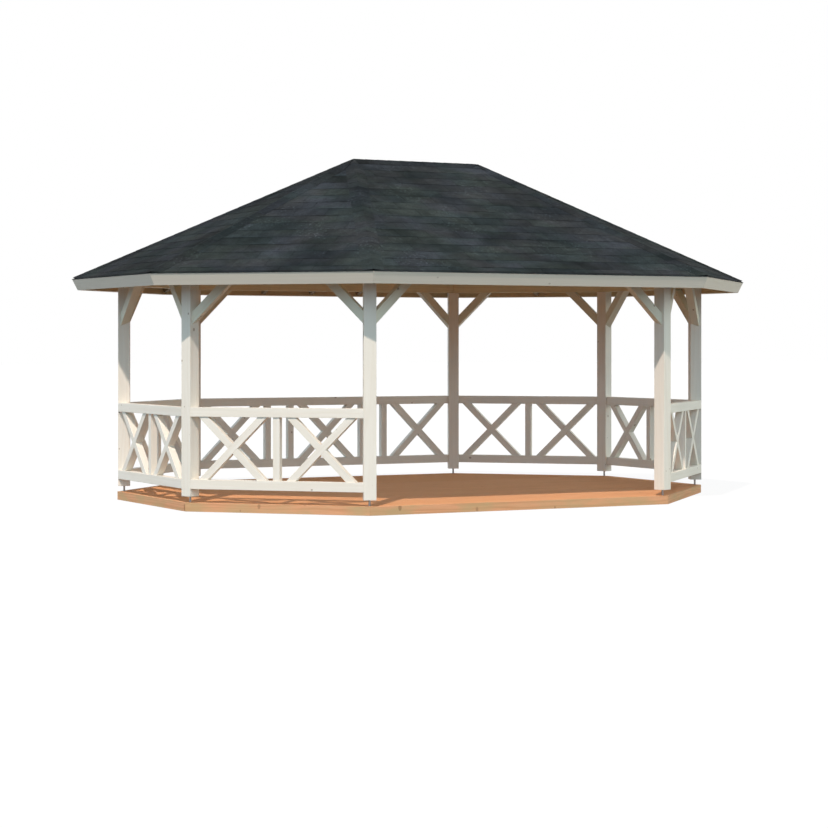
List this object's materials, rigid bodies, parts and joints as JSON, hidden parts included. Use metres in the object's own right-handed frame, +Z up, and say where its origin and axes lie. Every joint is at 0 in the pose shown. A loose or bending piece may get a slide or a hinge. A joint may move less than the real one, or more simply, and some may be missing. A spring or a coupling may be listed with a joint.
{
  "type": "garden gazebo",
  "caption": "Open-sided timber garden gazebo on a wooden deck: stretched octagon plan, posts with knee braces, cross-braced railings and a low hipped shingle roof.",
  "frame": {"origin": "on the ground under the middle of the deck", "axes": "+X along the ridge, to the right as seen from the entrance; +Y towards the rear, the entrance faces -Y; +Z up"},
  "size_m": [6.8216, 5.3576, 3.52],
  "materials": {
    "deck_boards": "oiled reddish brown boards",
    "deck_edge": "oiled tan board",
    "rough_timber": "sawn",
    "glazed_timber": "cream-white glaze, knots showing",
    "roof_timber": "natural brown",
    "fascia_timber": "light grey-cream glaze",
    "shingle": "mineral-faced bitumen shingle, anthracite",
    "steel": "galvanised"
  },
  "bodies": {
    "root": {"braces_front_left": "glazed_timber", "braces_front_right": "glazed_timber", "braces_left_front": "glazed_timber", "braces_left_rear": "glazed_timber", "braces_rear_left": "glazed_timber", "braces_rear_right": "glazed_timber", "braces_right_front": "glazed_timber", "braces_right_rear": "glazed_timber", "deck_edge_boards": "deck_edge", "deck_floor": "deck_boards", "deck_joists": "rough_timber", "fascia_boards": "fascia_timber", "hip_rafters": "roof_timber", "jack_rafters": "roof_timber", "long_rafters": "roof_timber", "post_front_left": "glazed_timber", "post_front_right": "glazed_timber", "post_left_front": "glazed_timber", "post_left_rear": "glazed_timber", "post_pins": "steel", "post_rear_left": "glazed_timber", "post_rear_right": "glazed_timber", "post_right_front": "glazed_timber", "post_right_rear": "glazed_timber", "railing_front_left": "glazed_timber", "railing_front_right": "glazed_timber", "railing_left": "glazed_timber", "railing_rear": "glazed_timber", "railing_rear_left": "glazed_timber", "railing_rear_right": "glazed_timber", "railing_right": "glazed_timber", "ridge_and_hip_caps": "shingle", "ridge_beam": "roof_timber", "ridge_hubs": "roof_timber", "ring_beams": "glazed_timber", "roof_front": "roof_timber", "roof_front_left": "roof_timber", "roof_front_right": "roof_timber", "roof_left": "roof_timber", "roof_rear": "roof_timber", "roof_rear_left": "roof_timber", "roof_rear_right": "roof_timber", "roof_right": "roof_timber", "roof_shingles": "shingle"}
  },
  "joints": []
}
